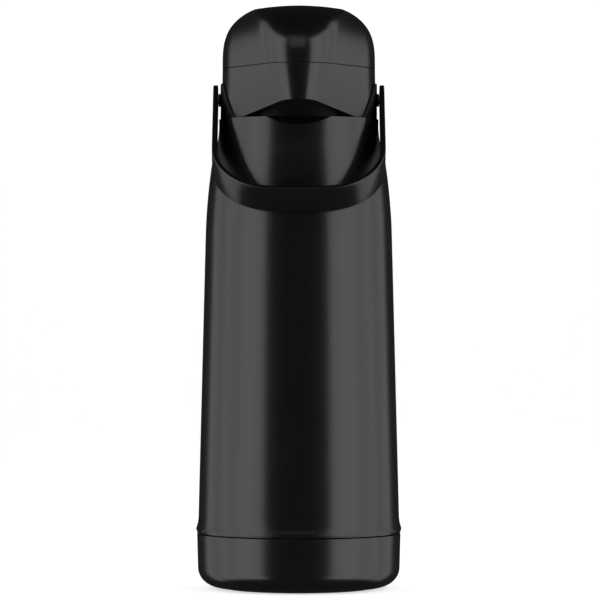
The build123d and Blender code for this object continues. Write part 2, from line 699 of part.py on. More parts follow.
# ---- handle -----------------------------------------------------------------------------------------------
def handle():
    """Bail of flat band, drawn lying forward in its own plane, then dropped to its rest."""
    corner_x = HANDLE_HALF_WIDTH - HANDLE_CORNER_R
    corner_y = -(HANDLE_REACH - HANDLE_CORNER_R)
    inner_x = HANDLE_HALF_WIDTH - HANDLE_THICKNESS
    arm_end = HANDLE_BAND / 2

    def outline(half, reach):
        arm_x = half
        arc_r = half - corner_x
        diagonal = arc_r * sqrt(0.5)
        return [
            Line((arm_x, arm_end), (arm_x, corner_y)),
            ThreePointArc((arm_x, corner_y), (corner_x + diagonal, corner_y - diagonal), (corner_x, -reach)),
            Line((corner_x, -reach), (-corner_x, -reach)),
            ThreePointArc(
                (-corner_x, -reach), (-corner_x - diagonal, corner_y - diagonal), (-arm_x, corner_y)
            ),
            Line((-arm_x, corner_y), (-arm_x, arm_end)),
            Line((-arm_x, arm_end), (arm_x, arm_end)),
        ]

    outer = make_face(outline(HANDLE_HALF_WIDTH, HANDLE_REACH))
    inner = make_face(outline(inner_x, HANDLE_REACH - HANDLE_THICKNESS))
    band = extrude(outer - inner, HANDLE_BAND / 2, both=True)
    arm_round = rod_x(HANDLE_BAND / 2, -80, 80, 0, 0) + block(-80, 80, -120, 0, -HANDLE_BAND, HANDLE_BAND)
    band = band & arm_round
    band -= rod_x(PIVOT_PIN_R, -HANDLE_HALF_WIDTH + 0.8, HANDLE_HALF_WIDTH - 0.8, 0, 0)
    return Pos(0, 0, PIVOT_Z) * (Rot(HANDLE_REST_DEG, 0, 0) * band)


def handle_pivot_pins():
    """Two headed pins: the head inside the ear, the shank through the ear into the handle's arm."""
    head = rod_x(4.2, 47.0, 48.5, 0, PIVOT_Z)
    pin = head + rod_x(PIVOT_PIN_R, 48.0, HANDLE_HALF_WIDTH - 0.8, 0, PIVOT_Z)
    return Compound(children=[pin, mirror(pin, about=Plane.YZ)])


PARTS = {
    "base_pad": base_pad,
    "base_cup": base_cup,
    "refill_cushion": refill_cushion,
    "glass_outer": glass_outer,
    "glass_inner": glass_inner,
    "mouth_gasket": mouth_gasket,
    "outer_body": outer_body,
    "shoulder_collar": shoulder_collar,
    "front_panel": front_panel,
    "spout_housing": spout_housing,
    "lid_hinge_pin": lid_hinge_pin,
    "housing_screws": housing_screws,
    "mouth_stopper": mouth_stopper,
    "pipe_seal": pipe_seal,
    "spout_pipe": spout_pipe,
    "valve_chamber": valve_chamber,
    "valve_ball": valve_ball,
    "dip_tube": dip_tube,
    "lid_shell": lid_shell,
    "lid_base": lid_base,
    "lid_screws": lid_screws,
    "lid_gasket": lid_gasket,
    "bellows": bellows,
    "return_spring": return_spring,
    "bellows_plate": bellows_plate,
    "vent_valve": vent_valve,
    "push_button": push_button,
    "handle": handle,
    "handle_pivot_pins": handle_pivot_pins,
}

os.makedirs("parts", exist_ok=True)
for name, make in PARTS.items():
    export_step(make(), f"parts/{name}.step")
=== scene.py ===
"""Looks of the glass-lined pump airpot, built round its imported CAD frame.

Outlines are worked out in millimetres and turned into metres where a mesh is made. +Z is up and the
front with the beak faces -Y, so a "depth" in front of the axis is minus Y.
"""

import bmesh
import bpy
from functools import lru_cache
from math import asin, cos, hypot, pi, radians, sin, sqrt
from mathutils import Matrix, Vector


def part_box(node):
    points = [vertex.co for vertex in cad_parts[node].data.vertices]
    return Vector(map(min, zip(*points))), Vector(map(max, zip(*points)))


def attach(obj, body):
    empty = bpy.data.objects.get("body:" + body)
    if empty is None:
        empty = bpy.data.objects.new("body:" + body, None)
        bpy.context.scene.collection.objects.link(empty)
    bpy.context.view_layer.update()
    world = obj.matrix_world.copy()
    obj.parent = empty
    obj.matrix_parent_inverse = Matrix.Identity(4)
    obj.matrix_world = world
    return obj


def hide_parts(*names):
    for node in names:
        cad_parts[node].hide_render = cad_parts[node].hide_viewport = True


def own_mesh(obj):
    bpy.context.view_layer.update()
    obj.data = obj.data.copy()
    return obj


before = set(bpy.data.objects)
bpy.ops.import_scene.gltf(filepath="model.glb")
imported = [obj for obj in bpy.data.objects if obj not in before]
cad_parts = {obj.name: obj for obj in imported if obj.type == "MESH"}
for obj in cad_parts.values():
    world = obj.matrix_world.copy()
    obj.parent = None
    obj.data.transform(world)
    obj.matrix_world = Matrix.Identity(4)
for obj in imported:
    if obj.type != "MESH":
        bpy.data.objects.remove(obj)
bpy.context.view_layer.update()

MM = 0.001


# ---- sizes, in millimetres, from the frame -------------------------------------------------------
def node_mm(node):
    """Lowest and highest corner of a CAD node, in millimetres."""
    return [[c / MM for c in corner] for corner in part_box(node)]


BODY_LOW, BODY_HIGH = node_mm("outer_body")
BASE_LOW, BASE_HIGH = node_mm("base_cup")
PAD_HIGH = node_mm("base_pad")[1]
HOUSING_LOW = node_mm("spout_housing")[0]
LID_HIGH = node_mm("lid_shell")[1]
BUTTON_LOW, BUTTON_HIGH = node_mm("push_button")
PANEL_HIGH = node_mm("front_panel")[1]
HANDLE_HIGH = node_mm("handle")[1]

# body: straight taper, a shoulder arc through three points, a flared lip at the foot
BODY_TOP_Z = BODY_HIGH[2]
BODY_BOTTOM_Z = BODY_LOW[2]
LIP_R = BODY_HIGH[0]
LIP_Z = BODY_BOTTOM_Z + 2.9
LIP_UNDERCUT = 0.33          # how fast the lip draws in below its widest height
TAPER_LOW = (66.5, 48.0)
TAPER_HIGH = (61.8, 234.0)
SHOULDER_MID = (59.8, 264.0)
SHOULDER_TOP = (56.2, BODY_TOP_Z)
BODY_WALL = 2.2
CUT_FRONT_Z = 256.0          # the top edge dips to this height 60 mm in front of the axis
CUT_FRONT_DEPTH = 60.0
CUT_SLOPE = 0.6

# head: plan with a round back, straight sides and a small round nose; the dome shrinks it upwards
HEAD_R = 50.6                # at the seam
HEAD_LOW_R = 51.2            # at the housing's lower end
HEAD_TIP = -HOUSING_LOW[1]
HEAD_NOSE_R = 23.0           # at the seam
HEAD_LOW_NOSE_R = 11.0       # at the housing's lower end: the beak gets sharper downwards
DOME_NOSE_GROWTH = 0.25      # and it grows by this much for each millimetre up the dome
HEAD_WALL = 2.4
HOUSING_TOP_Z = 343.85
HOUSING_BOTTOM_Z = HOUSING_LOW[2]
LID_BOTTOM_Z = 344.15
DOME_START_Z = 345.0
DOME_REACH = 44.0
DOME_SIDE_POWER = 3.2
DOME_NOSE_POWER = 2.5
DOME_TOP_Z = LID_HIGH[2]
LIP_ARCH_Z = 320.0
LIP_FLAT_HALF = 9.0
LIP_SIDE_HALF = 36.8
LIP_ROUND_R = 24.0
LIP_BACK_Y = -28.0           # the arch is only cut in front of this
EAR_TOP_Z = 334.3
EAR_TOP_HALF = 13.3
EAR_FOOT_HALF = 31.3
EAR_FOOT_Z = 310.0
EAR_ROUND_R = 4.0
EAR_INNER_X = 30.0
BUTTON_R = BUTTON_HIGH[0]
BUTTON_TIP = -BUTTON_LOW[1]
BUTTON_NOSE_R = 12.0
BUTTON_GAP = 0.4
BUTTON_WALL = 2.0
BUTTON_CROWN_R = 170.0
BUTTON_EDGE_R = 0.9
GUIDE_WALL = 1.9
GUIDE_BOTTOM_Z = 354.0
SEAM_Z = 344.0
HINGE_Y = 52.0
HINGE_KNUCKLE_R = 3.4
HINGE_NOTCH_R = 3.9
HINGE_CENTRE_HALF = 8.7
HINGE_OUTER = (9.0, 16.0)
HOUSING_SCREW_R = 38.0
SCREW_HOLE_R = 1.7
WEB_Z = 325.0
WEB_THICKNESS = 2.4
WEB_MOUTH_R = 27.0
NOZZLE_Y = -66.0
NOZZLE_HOLE_R = 6.6

# collar, handle pivots and pump
COLLAR_R = 52.9
FLARE_MID_Z = 301.0
FLARE_MID_GROWTH = 0.6
DECK_Z = PANEL_HIGH[2]
PIVOT_Z = sum(c[2] for c in node_mm("handle_pivot_pins")) / 2
BELLOWS_LOW, BELLOWS_HIGH = (corner[2] for corner in node_mm("bellows"))


# ---- mesh helpers --------------------------------------------------------------------------------
def skin(sections, closed):
    """Points and faces between neighbouring closed sections that have the same even number of points."""
    n, rows = len(sections[0]), len(sections)
    points = [p for section in sections for p in section]
    faces = []
    for i in range(rows if closed else rows - 1):
        a, b = i * n, (i + 1) % rows * n
        for j in range(n):
            k = (j + 1) % n
            faces.append((a + j, a + k, b + k, b + j))
    if not closed:
        for first in (0, (rows - 1) * n):
            for j in range(n // 2 - 1):
                faces.append((first + j, first + j + 1, first + n - 2 - j, first + n - 1 - j))
    return points, faces


def piece(name, points, faces, material, body, replaced=(), edge=0.0):
    """Mesh object from points in millimetres, riding on a body; edge rounds its corners by that much."""
    mesh = bpy.data.meshes.new(name)
    mesh.from_pydata([[c * MM for c in p] for p in points], [], faces)
    work = bmesh.new()
    work.from_mesh(mesh)
    bmesh.ops.remove_doubles(work, verts=work.verts, dist=1e-6)
    bmesh.ops.recalc_face_normals(work, faces=work.faces)
    work.to_mesh(mesh)
    work.free()
    mesh.shade_smooth()
    obj = bpy.data.objects.new(name, mesh)
    bpy.context.scene.collection.objects.link(obj)
    mesh.materials.append(material)
    if edge:
        bevel = obj.modifiers.new("rounded_edges", "BEVEL")
        bevel.width = edge * MM
        bevel.segments = 3
        bevel.limit_method = "ANGLE"
        bevel.angle_limit = radians(32)
        bevel.harden_normals = True
    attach(obj, body)
    if replaced:
        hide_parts(*replaced)
    return obj


def circle_through(a, b, c):
    """Centre and radius of the circle through three points of a plane."""
    ax, ay, bx, by, cx, cy = *a, *b, *c
    d = 2 * (ax * (by - cy) + bx * (cy - ay) + cx * (ay - by))
    sa, sb, sc = ax * ax + ay * ay, bx * bx + by * by, cx * cx + cy * cy
    x = (sa * (by - cy) + sb * (cy - ay) + sc * (ay - by)) / d
    y = (sa * (cx - bx) + sb * (ax - cx) + sc * (bx - ax)) / d
    return x, y, hypot(ax - x, ay - y)


def spread(low, high, count):
    """Evenly spaced values from low to high, both included."""
    return [low + (high - low) * i / (count - 1) for i in range(count)]


def around(count):
    """Angles round the axis, from the front."""
    return [2 * pi * i / count for i in range(count)]


def polar(radius, angle, z):
    """Point at that angle from the front."""
    return (radius * sin(angle), -radius * cos(angle), z)


# ---- outlines ------------------------------------------------------------------------------------
SHOULDER = circle_through(SHOULDER_TOP, SHOULDER_MID, TAPER_HIGH)


def body_radius(z):
    """Outer radius of the body at height z."""
    if z >= TAPER_HIGH[1]:
        x, y, r = SHOULDER
        return x + sqrt(r * r - (z - y) ** 2)
    slope = (TAPER_LOW[0] - TAPER_HIGH[0]) / (TAPER_HIGH[1] - TAPER_LOW[1])
    straight = TAPER_HIGH[0] + slope * (TAPER_HIGH[1] - z)
    if z >= TAPER_LOW[1]:
        return straight
    if z >= LIP_Z:
        t = (TAPER_LOW[1] - z) / (TAPER_LOW[1] - LIP_Z)
        low = TAPER_HIGH[0] + slope * (TAPER_HIGH[1] - LIP_Z)
        return straight + (LIP_R - low) * t * t
    return LIP_R - LIP_UNDERCUT * (LIP_Z - z)


def body_top(angle, wall=0.0):
    """Height of the body's top edge at that angle: level, dipping to the front along a slanted plane."""
    z = BODY_TOP_Z
    for _ in range(12):
        depth = (body_radius(z) - wall) * cos(angle)
        z = min(BODY_TOP_Z, CUT_FRONT_Z + CUT_SLOPE * (CUT_FRONT_DEPTH - depth))
    return z


def egg(radius, tip, nose_r, back_steps=150, side_steps=56, nose_steps=40):
    """Plan outline: round back, straight sides, round nose; always the same number of points."""
    centre = tip - nose_r
    lean = asin((radius - nose_r) / centre)
    points = []
    for i in range(back_steps):
        a = -lean + (pi + 2 * lean) * i / back_steps
        points.append((radius * cos(a), radius * sin(a)))
    side = (-radius * cos(lean), -radius * sin(lean))
    nose = (-nose_r * cos(lean), -centre - nose_r * sin(lean))
    for i in range(side_steps):
        t = i / side_steps
        points.append((side[0] + (nose[0] - side[0]) * t, side[1] + (nose[1] - side[1]) * t))
    for i in range(nose_steps):
        a = pi + lean + (pi - 2 * lean) * i / nose_steps
        points.append((nose_r * cos(a), -centre + nose_r * sin(a)))
    for i in range(side_steps):
        t = i / side_steps
        points.append((-nose[0] + (nose[0] - side[0]) * t, nose[1] + (side[1] - nose[1]) * t))
    return points


@lru_cache(maxsize=None)
def head_plan(z, inset=0.0):
    """Plan of the housing's wall at height z, or that far inside it."""
    share = (z - HOUSING_BOTTOM_Z) / (SEAM_Z - HOUSING_BOTTOM_Z)
    radius = HEAD_LOW_R + (HEAD_R - HEAD_LOW_R) * share
    nose_r = HEAD_LOW_NOSE_R + (HEAD_NOSE_R - HEAD_LOW_NOSE_R) * share
    return egg(radius - inset, HEAD_TIP - inset, nose_r - inset)


def plan_point(index, z, inset):
    """Point of the housing's plan at height z, between the plans at its lower end and at the seam."""
    (x0, y0), (x1, y1) = head_plan(HOUSING_BOTTOM_Z, inset)[index], head_plan(SEAM_Z, inset)[index]
    share = (z - HOUSING_BOTTOM_Z) / (SEAM_Z - HOUSING_BOTTOM_Z)
    return x0 + (x1 - x0) * share, y0 + (y1 - y0) * share


def button_plan(inset=0.0):
    """Plan of the button, or that far inside it."""
    return egg(BUTTON_R - inset, BUTTON_TIP - inset, BUTTON_NOSE_R - inset)


def dome_plan(z, inset=0.0):
    """Plan of the lid's dome at height z, or that far inside it."""
    rise = max(z - DOME_START_Z, 0) / DOME_REACH
    side = sqrt(1 - rise**DOME_SIDE_POWER)
    front = sqrt(1 - rise**DOME_NOSE_POWER)
    nose_r = min(HEAD_NOSE_R + DOME_NOSE_GROWTH * (z - SEAM_Z), 0.9 * HEAD_R * side)
    return egg(HEAD_R * side - inset, HEAD_TIP * front - inset, nose_r - inset)


def gable(offset, top_z, top_half, foot_z, foot_half, round_r):
    """Height of a cut-out's edge that far from its middle: level top, rounded shoulders, slanted sides."""
    slope = (top_z - foot_z) / (foot_half - top_half)
    tangent = round_r * (sqrt(1 + slope**2) - 1) / slope
    run = abs(offset) - (top_half - tangent)
    if run <= 0:
        return top_z
    if run < tangent + tangent / sqrt(1 + slope**2):
        return top_z - round_r + sqrt(round_r**2 - run**2)
    return max(HOUSING_BOTTOM_Z, top_z - slope * (abs(offset) - top_half))


def lip_height(x, y):
    """Height of the housing's lower edge over a point: arched under the beak, cut out at the ears."""
    if y < LIP_BACK_Y:
        return gable(x, LIP_ARCH_Z, LIP_FLAT_HALF, HOUSING_BOTTOM_Z, LIP_SIDE_HALF, LIP_ROUND_R)
    if abs(y) < EAR_FOOT_HALF and abs(x) > EAR_INNER_X:
        return gable(y, EAR_TOP_Z, EAR_TOP_HALF, EAR_FOOT_Z, EAR_FOOT_HALF, EAR_ROUND_R)
    return HOUSING_BOTTOM_Z


def notch(x, y, half_low, half_high):
    """How far the hinge's knuckles bite into a wall, up and down from the seam."""
    reach = HINGE_NOTCH_R**2 - (y - HINGE_Y) ** 2
    if y > 0 and half_low <= abs(x) <= half_high and reach > 0:
        return sqrt(reach)
    return 0.0


# ---- pieces --------------------------------------------------------------------------------------
def make_body(material):
    """Tapered shell: the outside up to the dipping top edge, and the inside back down."""
    taper_z, neck_z, inner_z = 56.0, 236.0, 200.0
    low = [BODY_BOTTOM_Z, BODY_BOTTOM_Z + 1.4, LIP_Z - 0.3, LIP_Z]
    low += spread(LIP_Z + 0.5, TAPER_LOW[1] + 1, 16) + spread(taper_z, neck_z, 16)
    sections = []
    for angle in around(256):
        top = body_top(angle)
        inner_top = body_top(angle, BODY_WALL)
        outside = low + spread(neck_z, top, 22)[1:]
        inside = spread(inner_top, neck_z, 8) + spread(inner_z, BODY_BOTTOM_Z, 6)
        section = [polar(body_radius(z), angle, z) for z in outside]
        section += [polar(body_radius(max(z, TAPER_LOW[1])) - BODY_WALL, angle, z) for z in inside]
        sections.append(section)
    points, faces = skin(sections, True)
    return piece("body_shell", points, faces, material, "pot", ["outer_body"], 0.45)


def make_base_cup(material):
    """Base cup, turned: recess for the pad, elliptical corner, straight wall, spigot inside the body."""
    corner_width, corner_height = 15.0, 13.0
    spigot_r, spigot_inner_r, spigot_foot_z, wall = 64.3, 61.5, 30.0, 2.6
    low_r, top_r, top_z, bottom_z, floor_z = 66.9, BASE_HIGH[0], 36.3, BASE_LOW[2], 4.0
    corner_x, corner_z = low_r - corner_width, bottom_z + corner_height
    pad_r, pad_top = PAD_HIGH[0] + 0.05, PAD_HIGH[2]
    profile = [(0, floor_z), (0, pad_top), (pad_r, pad_top), (pad_r, bottom_z)]
    for i in range(33):
        a = pi / 2 * i / 32
        profile.append((corner_x + corner_width * sin(a), corner_z - corner_height * cos(a)))
    for t in spread(0.1, 1, 10):
        profile.append((low_r + (top_r - low_r) * t, corner_z + (top_z - corner_z) * t))
    profile += [(spigot_r, top_z), (spigot_r, BASE_HIGH[2])]
    profile += [(spigot_inner_r, BASE_HIGH[2]), (spigot_inner_r, spigot_foot_z)]
    profile += [(low_r - wall, spigot_foot_z - 3), (low_r - wall, corner_z + 2)]
    profile += [(corner_x + 6, floor_z + 2), (corner_x - 2, floor_z)]
    sections = [[polar(r, angle, z) for r, z in profile] for angle in around(256)]
    points, faces = skin(sections, True)
    return piece("base_cup_shell", points, faces, material, "pot", ["base_cup"], 0.35)


def make_lid(material):
    """Domed shell of the lid, its rim round the button, the button's guide and the inside of the dome."""
    outer_levels = [LID_BOTTOM_Z, 344.6, DOME_START_Z] + [
        DOME_START_Z + (DOME_TOP_Z - DOME_START_Z) * sin(pi / 2 * t) for t in spread(0.03, 1, 44)
    ]
    join_z = DOME_TOP_Z - HEAD_WALL
    guide_levels = (DOME_TOP_Z, 372.0, GUIDE_BOTTOM_Z)
    inner_levels = (join_z, 376, 371, 365, 357, LID_BOTTOM_Z)
    guide_inset = -BUTTON_GAP - GUIDE_WALL
    rings = [[(x, y, z) for x, y in dome_plan(z)] for z in outer_levels]
    rings += [[(x, y, z) for x, y in button_plan(-BUTTON_GAP)] for z in guide_levels]
    rings += [[(x, y, z) for x, y in button_plan(guide_inset)] for z in (GUIDE_BOTTOM_Z, join_z)]
    rings += [[(x, y, z) for x, y in dome_plan(z, HEAD_WALL)] for z in inner_levels]
    sections = []
    for column in zip(*rings):
        x, y = column[0][:2]
        low = SEAM_Z + notch(x, y, HINGE_CENTRE_HALF, HINGE_OUTER[1] + 0.5)
        sections.append([(px, py, max(z, low)) for px, py, z in column])
    points, faces = skin(sections, True)
    return piece("lid_dome", points, faces, material, "lid", ["lid_shell"], 0.35)


def make_housing(material):
    """Wall of the spout housing, from the arched lip up to the seam; its plan changes with the height."""
    levels = spread(0, 1, 12)
    columns = list(zip(head_plan(SEAM_Z), head_plan(SEAM_Z, HEAD_WALL)))
    sections = []
    for i, (outer, inner) in enumerate(columns):
        section = []
        for (x, y), inset, order in ((outer, 0.0, 1), (inner, HEAD_WALL, -1)):
            low = lip_height(x, y)
            for _ in range(4):
                low = lip_height(*plan_point(i, low, inset))
            high = min(HOUSING_TOP_Z, SEAM_Z - notch(x, y, 0, HINGE_OUTER[0]))
            for level in levels[::order]:
                z = low + (high - low) * level
                section.append((*plan_point(i, z, inset), z))
        sections.append(section)
    points, faces = skin(sections, True)
    replaced = ["spout_housing"]
    return piece("spout_housing_wall", points, faces, material, "pot", replaced, 0.35)


def make_button(material):
    """Crowned pad with a rounded edge and a thin skirt."""
    centre_y, hollow_z = -6.0, 380.0
    centre_z = BUTTON_HIGH[2] - BUTTON_CROWN_R
    plan = button_plan()

    def crown(x, y):
        return centre_z + sqrt(BUTTON_CROWN_R**2 - x**2 - (y - centre_y) ** 2)

    rings = []
    for share in spread(0, 1, 24):
        ring = []
        for x, y in button_plan(BUTTON_EDGE_R):
            px, py = x * share, centre_y + (y - centre_y) * share
            ring.append((px, py, crown(px, py)))
        rings.append(ring)
    for i in range(1, 7):
        a = pi / 2 * i / 6
        inset = BUTTON_EDGE_R * (1 - sin(a))
        drop = BUTTON_EDGE_R * (1 - cos(a))
        rings.append([(x, y, crown(x, y) - drop) for x, y in button_plan(inset)])
    rings.append([(x, y, BUTTON_LOW[2]) for x, y in plan])
    rings.append([(x, y, BUTTON_LOW[2]) for x, y in button_plan(BUTTON_WALL)])
    rings.append([(x, y, hollow_z) for x, y in button_plan(BUTTON_WALL)])
    rings.append([(0, centre_y, hollow_z) for _ in plan])
    sections = [list(section) for section in zip(*rings)]
    points, faces = skin(sections, True)
    return piece("button_pad", points, faces, material, "button", ["push_button"])


def make_knuckle(name, x0, x1, lug_side, material, body):
    """Hinge knuckle with its lug; lug_side is -1 for a lug below the seam, 1 for one above it."""
    profile = [(HINGE_Y - HINGE_KNUCKLE_R + 0.1, SEAM_Z + lug_side * HINGE_KNUCKLE_R)]
    for i in range(29):
        a = lug_side * radians(90 - 267 * i / 28)
        profile.append((HINGE_Y + HINGE_KNUCKLE_R * cos(a), SEAM_Z + HINGE_KNUCKLE_R * sin(a)))
    profile.append((HINGE_Y - HINGE_KNUCKLE_R + 0.1, SEAM_Z + lug_side * 0.3))
    if len(profile) % 2:
        profile.pop()
    sections = [[(x, y, z) for y, z in profile] for x in (x0, x1)]
    points, faces = skin(sections, False)
    return piece(name, points, faces, material, body, (), 0.3)


def ring_points(x, y, radius, count):
    """Circle in a level plane, as points."""
    return [
        (x + radius * cos(2 * pi * i / count), y + radius * sin(2 * pi * i / count)) for i in range(count)
    ]


def plate(name, outline, holes, z0, z1, material):
    """Flat plate with holes, filled from its outlines."""
    curve = bpy.data.curves.new(name, "CURVE")
    curve.dimensions = "2D"
    curve.fill_mode = "BOTH"
    curve.extrude = (z1 - z0) / 2 * MM
    for line in [outline, *holes]:
        spline = curve.splines.new("POLY")
        spline.points.add(len(line) - 1)
        for point, (x, y) in zip(spline.points, line):
            point.co = (x * MM, y * MM, 0, 1)
        spline.use_cyclic_u = True
    shape = bpy.data.objects.new(name, curve)
    bpy.context.scene.collection.objects.link(shape)
    flat = bpy.data.meshes.new_from_object(shape.evaluated_get(bpy.context.evaluated_depsgraph_get()))
    points = [(v.co.x / MM, v.co.y / MM, v.co.z / MM + (z0 + z1) / 2) for v in flat.vertices]
    faces = [tuple(p.vertices) for p in flat.polygons]
    bpy.data.objects.remove(shape)
    bpy.data.curves.remove(curve)
    bpy.data.meshes.remove(flat)
    return piece(name, points, faces, material, "pot", (), 0.25)


def make_web(material):
    """Plate over the neck inside the head, with the mouth, the nozzle hole and the screw holes."""
    half = HOUSING_SCREW_R * sqrt(0.5)
    holes = [ring_points(0, 0, WEB_MOUTH_R, 96), ring_points(0, NOZZLE_Y, NOZZLE_HOLE_R, 48)]
    holes += [ring_points(x, y, SCREW_HOLE_R, 24) for x in (-half, half) for y in (-half, half)]
    outline = head_plan(WEB_Z, HEAD_WALL - 0.2)
    return plate("housing_web", outline, holes, WEB_Z, WEB_Z + WEB_THICKNESS, material)


def flare_radius(deck_r, inset):
    """Function of the height: outline of the collar, or of the panel, down the flare and the body."""
    low = (SHOULDER_TOP[0] - inset, BODY_TOP_Z)
    x, y, r = circle_through((deck_r, DECK_Z), (deck_r + FLARE_MID_GROWTH, FLARE_MID_Z), low)
    side = 1 if deck_r > x else -1

    def radius(z):
        if z > BODY_TOP_Z:
            return x + side * sqrt(r * r - (z - y) ** 2)
        return body_radius(z) - inset

    return radius


def make_panel(material):
    """Shield-shaped panel, dished at the top by a large ball."""
    outer_r = flare_radius(COLLAR_R + 1.8, -0.7)
    inner_r = flare_radius(COLLAR_R, 1.0)
    foot_half, foot_z, middle_half, middle_z = 26.0, 264.9, 38.6, 290.0
    side_x, side_z, side_r = circle_through((44.0, DECK_Z), (middle_half, middle_z), (foot_half, foot_z))
    low_x, low_z, low_r = circle_through((foot_half, foot_z), (0, 262.0), (-foot_half, foot_z))
    turn = 1 if side_x < middle_half else -1
    ball_y, ball_z, ball_r, corner = -104.5, 392.0, 100.0, 1.2
    below_ball_z = 285.0

    def half_width(z):
        return side_x + turn * sqrt(side_r**2 - (max(z, foot_z) - side_z) ** 2)

    def top_edge(u, radius):
        high = DECK_Z
        from_side = half_width(high) * (1 - abs(u))
        if from_side < corner:
            high -= corner - sqrt(corner**2 - (corner - from_side) ** 2)
        low = below_ball_z
        for _ in range(30):
            middle = (low + high) / 2
            x = u * half_width(middle)
            y = -sqrt(radius(middle) ** 2 - x * x)
            if hypot(x, y - ball_y, middle - ball_z) < ball_r:
                high = middle
            else:
                low = middle
        return high

    sections = []
    ends = [sin(pi / 2 * t) for t in spread(-1, 1, 141)]
    for u in ends:
        bottom = low_z - sqrt(low_r**2 - (foot_half * u - low_x) ** 2)
        section = []
        for radius, order in ((outer_r, 1), (inner_r, -1)):
            heights = spread(bottom, top_edge(u, radius), 40)[::order]
            for z in heights:
                x = u * half_width(z)
                section.append((x, -sqrt(radius(z) ** 2 - x * x), z))
        sections.append(section)
    points, faces = skin(sections, False)
    return piece("shield_panel", points, faces, material, "pot", ["front_panel"], 0.3)


def make_handle(material):
    """Bail of flat band with softened edges and round arm ends, dropped to its rest at the front."""
    half = HANDLE_HIGH[0]
    thick, band, reach, corner_r, soft = 3.2, 20.0, 97.8, 40.0, 0.7
    tilt = radians(44.0)
    corner_x, corner_s = half - corner_r, reach - corner_r
    line = []
    for i in range(24):
        s = -band / 2 * sin(pi / 2 * (1 - i / 24) * 0.996)
        line.append((half, s, 1.0, 0.0, sqrt((band / 2) ** 2 - s * s)))
    line += [(half, s, 1.0, 0.0, band / 2) for s in spread(0, corner_s, 24)[:-1]]
    for a in spread(0, pi / 2, 60):
        line.append((corner_x + corner_r * cos(a), corner_s + corner_r * sin(a), cos(a), sin(a), band / 2))
    line += [(x, reach, 0.0, 1.0, band / 2) for x in spread(corner_x, 0, 12)[1:]]
    line += [(-x, s, -nx, ns, h) for x, s, nx, ns, h in reversed(line[:-1])]
    sections = []
    for x, s, nx, ns, h in line:
        r = min(soft, h * 0.9)
        corners = ((-r, h - r, 0), (r - thick, h - r, 90), (r - thick, r - h, 180), (-r, r - h, 270))
        section = []
        for cu, cv, start in corners:
            for i in range(5):
                a = radians(start + 22.5 * i)
                u, v = cu + r * cos(a), cv + r * sin(a)
                px, ps = x + nx * u, -(s + ns * u)
                y, z = ps * cos(tilt) - v * sin(tilt), ps * sin(tilt) + v * cos(tilt)
                section.append((px, y, PIVOT_Z + z))
        sections.append(section)
    points, faces = skin(sections, False)
    return piece("bail_band", points, faces, material, "bail", ["handle"])


def make_bellows(material):
    """Rubber bellows with rounded folds."""
    low, high, wall, folds = BELLOWS_LOW, BELLOWS_HIGH, 1.2, 5
    ridge, valley = 24.0, 18.5
    outside = []
    for z in spread(low, high, folds * 12 + 1):
        wave = 0.5 - 0.5 * cos(2 * pi * folds * (z - low) / (high - low))
        outside.append((valley + (ridge - valley) * wave, z))
    profile = outside + [(r - wall, z) for r, z in reversed(outside)]
    sections = [[polar(r, a, z) for r, z in profile] for a in around(128)]
    points, faces = skin(sections, True)
    bellows = piece("rubber_bellows", points, faces, material, "lid", ["bellows"])
    shorten(bellows)


def make_spring(material):
    """Coil spring in the bellows, with closed end turns."""
    wire, coil_r, turns, closed_turns, steps = 0.8, 11.0, 6.0, 0.8, 60
    low, high = BELLOWS_LOW + wire, BELLOWS_HIGH - wire
    sections = []
    for i in range(int(turns * steps) + 1):
        t = i / (turns * steps)
        a = 2 * pi * turns * t
        turn = t * turns
        open_share = min(max((turn - closed_turns) / (turns - 2 * closed_turns), 0), 1)
        z = low + min(turn, closed_turns) + (high - low - 2.6) * open_share
        z += max(turn - turns + closed_turns, 0)
        ring = []
        for k in range(12):
            b = 2 * pi * k / 12
            r = coil_r + wire * cos(b)
            ring.append((r * cos(a), r * sin(a), min(max(z + wire * sin(b), low - wire), high + wire)))
        sections.append(ring)
    points, faces = skin(sections, False)
    spring = piece("coil_spring", points, faces, material, "lid", ["return_spring"])
    shorten(spring)


def shorten(obj):
    """Gives the bellows or the spring a mesh of its own."""
    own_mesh(obj)


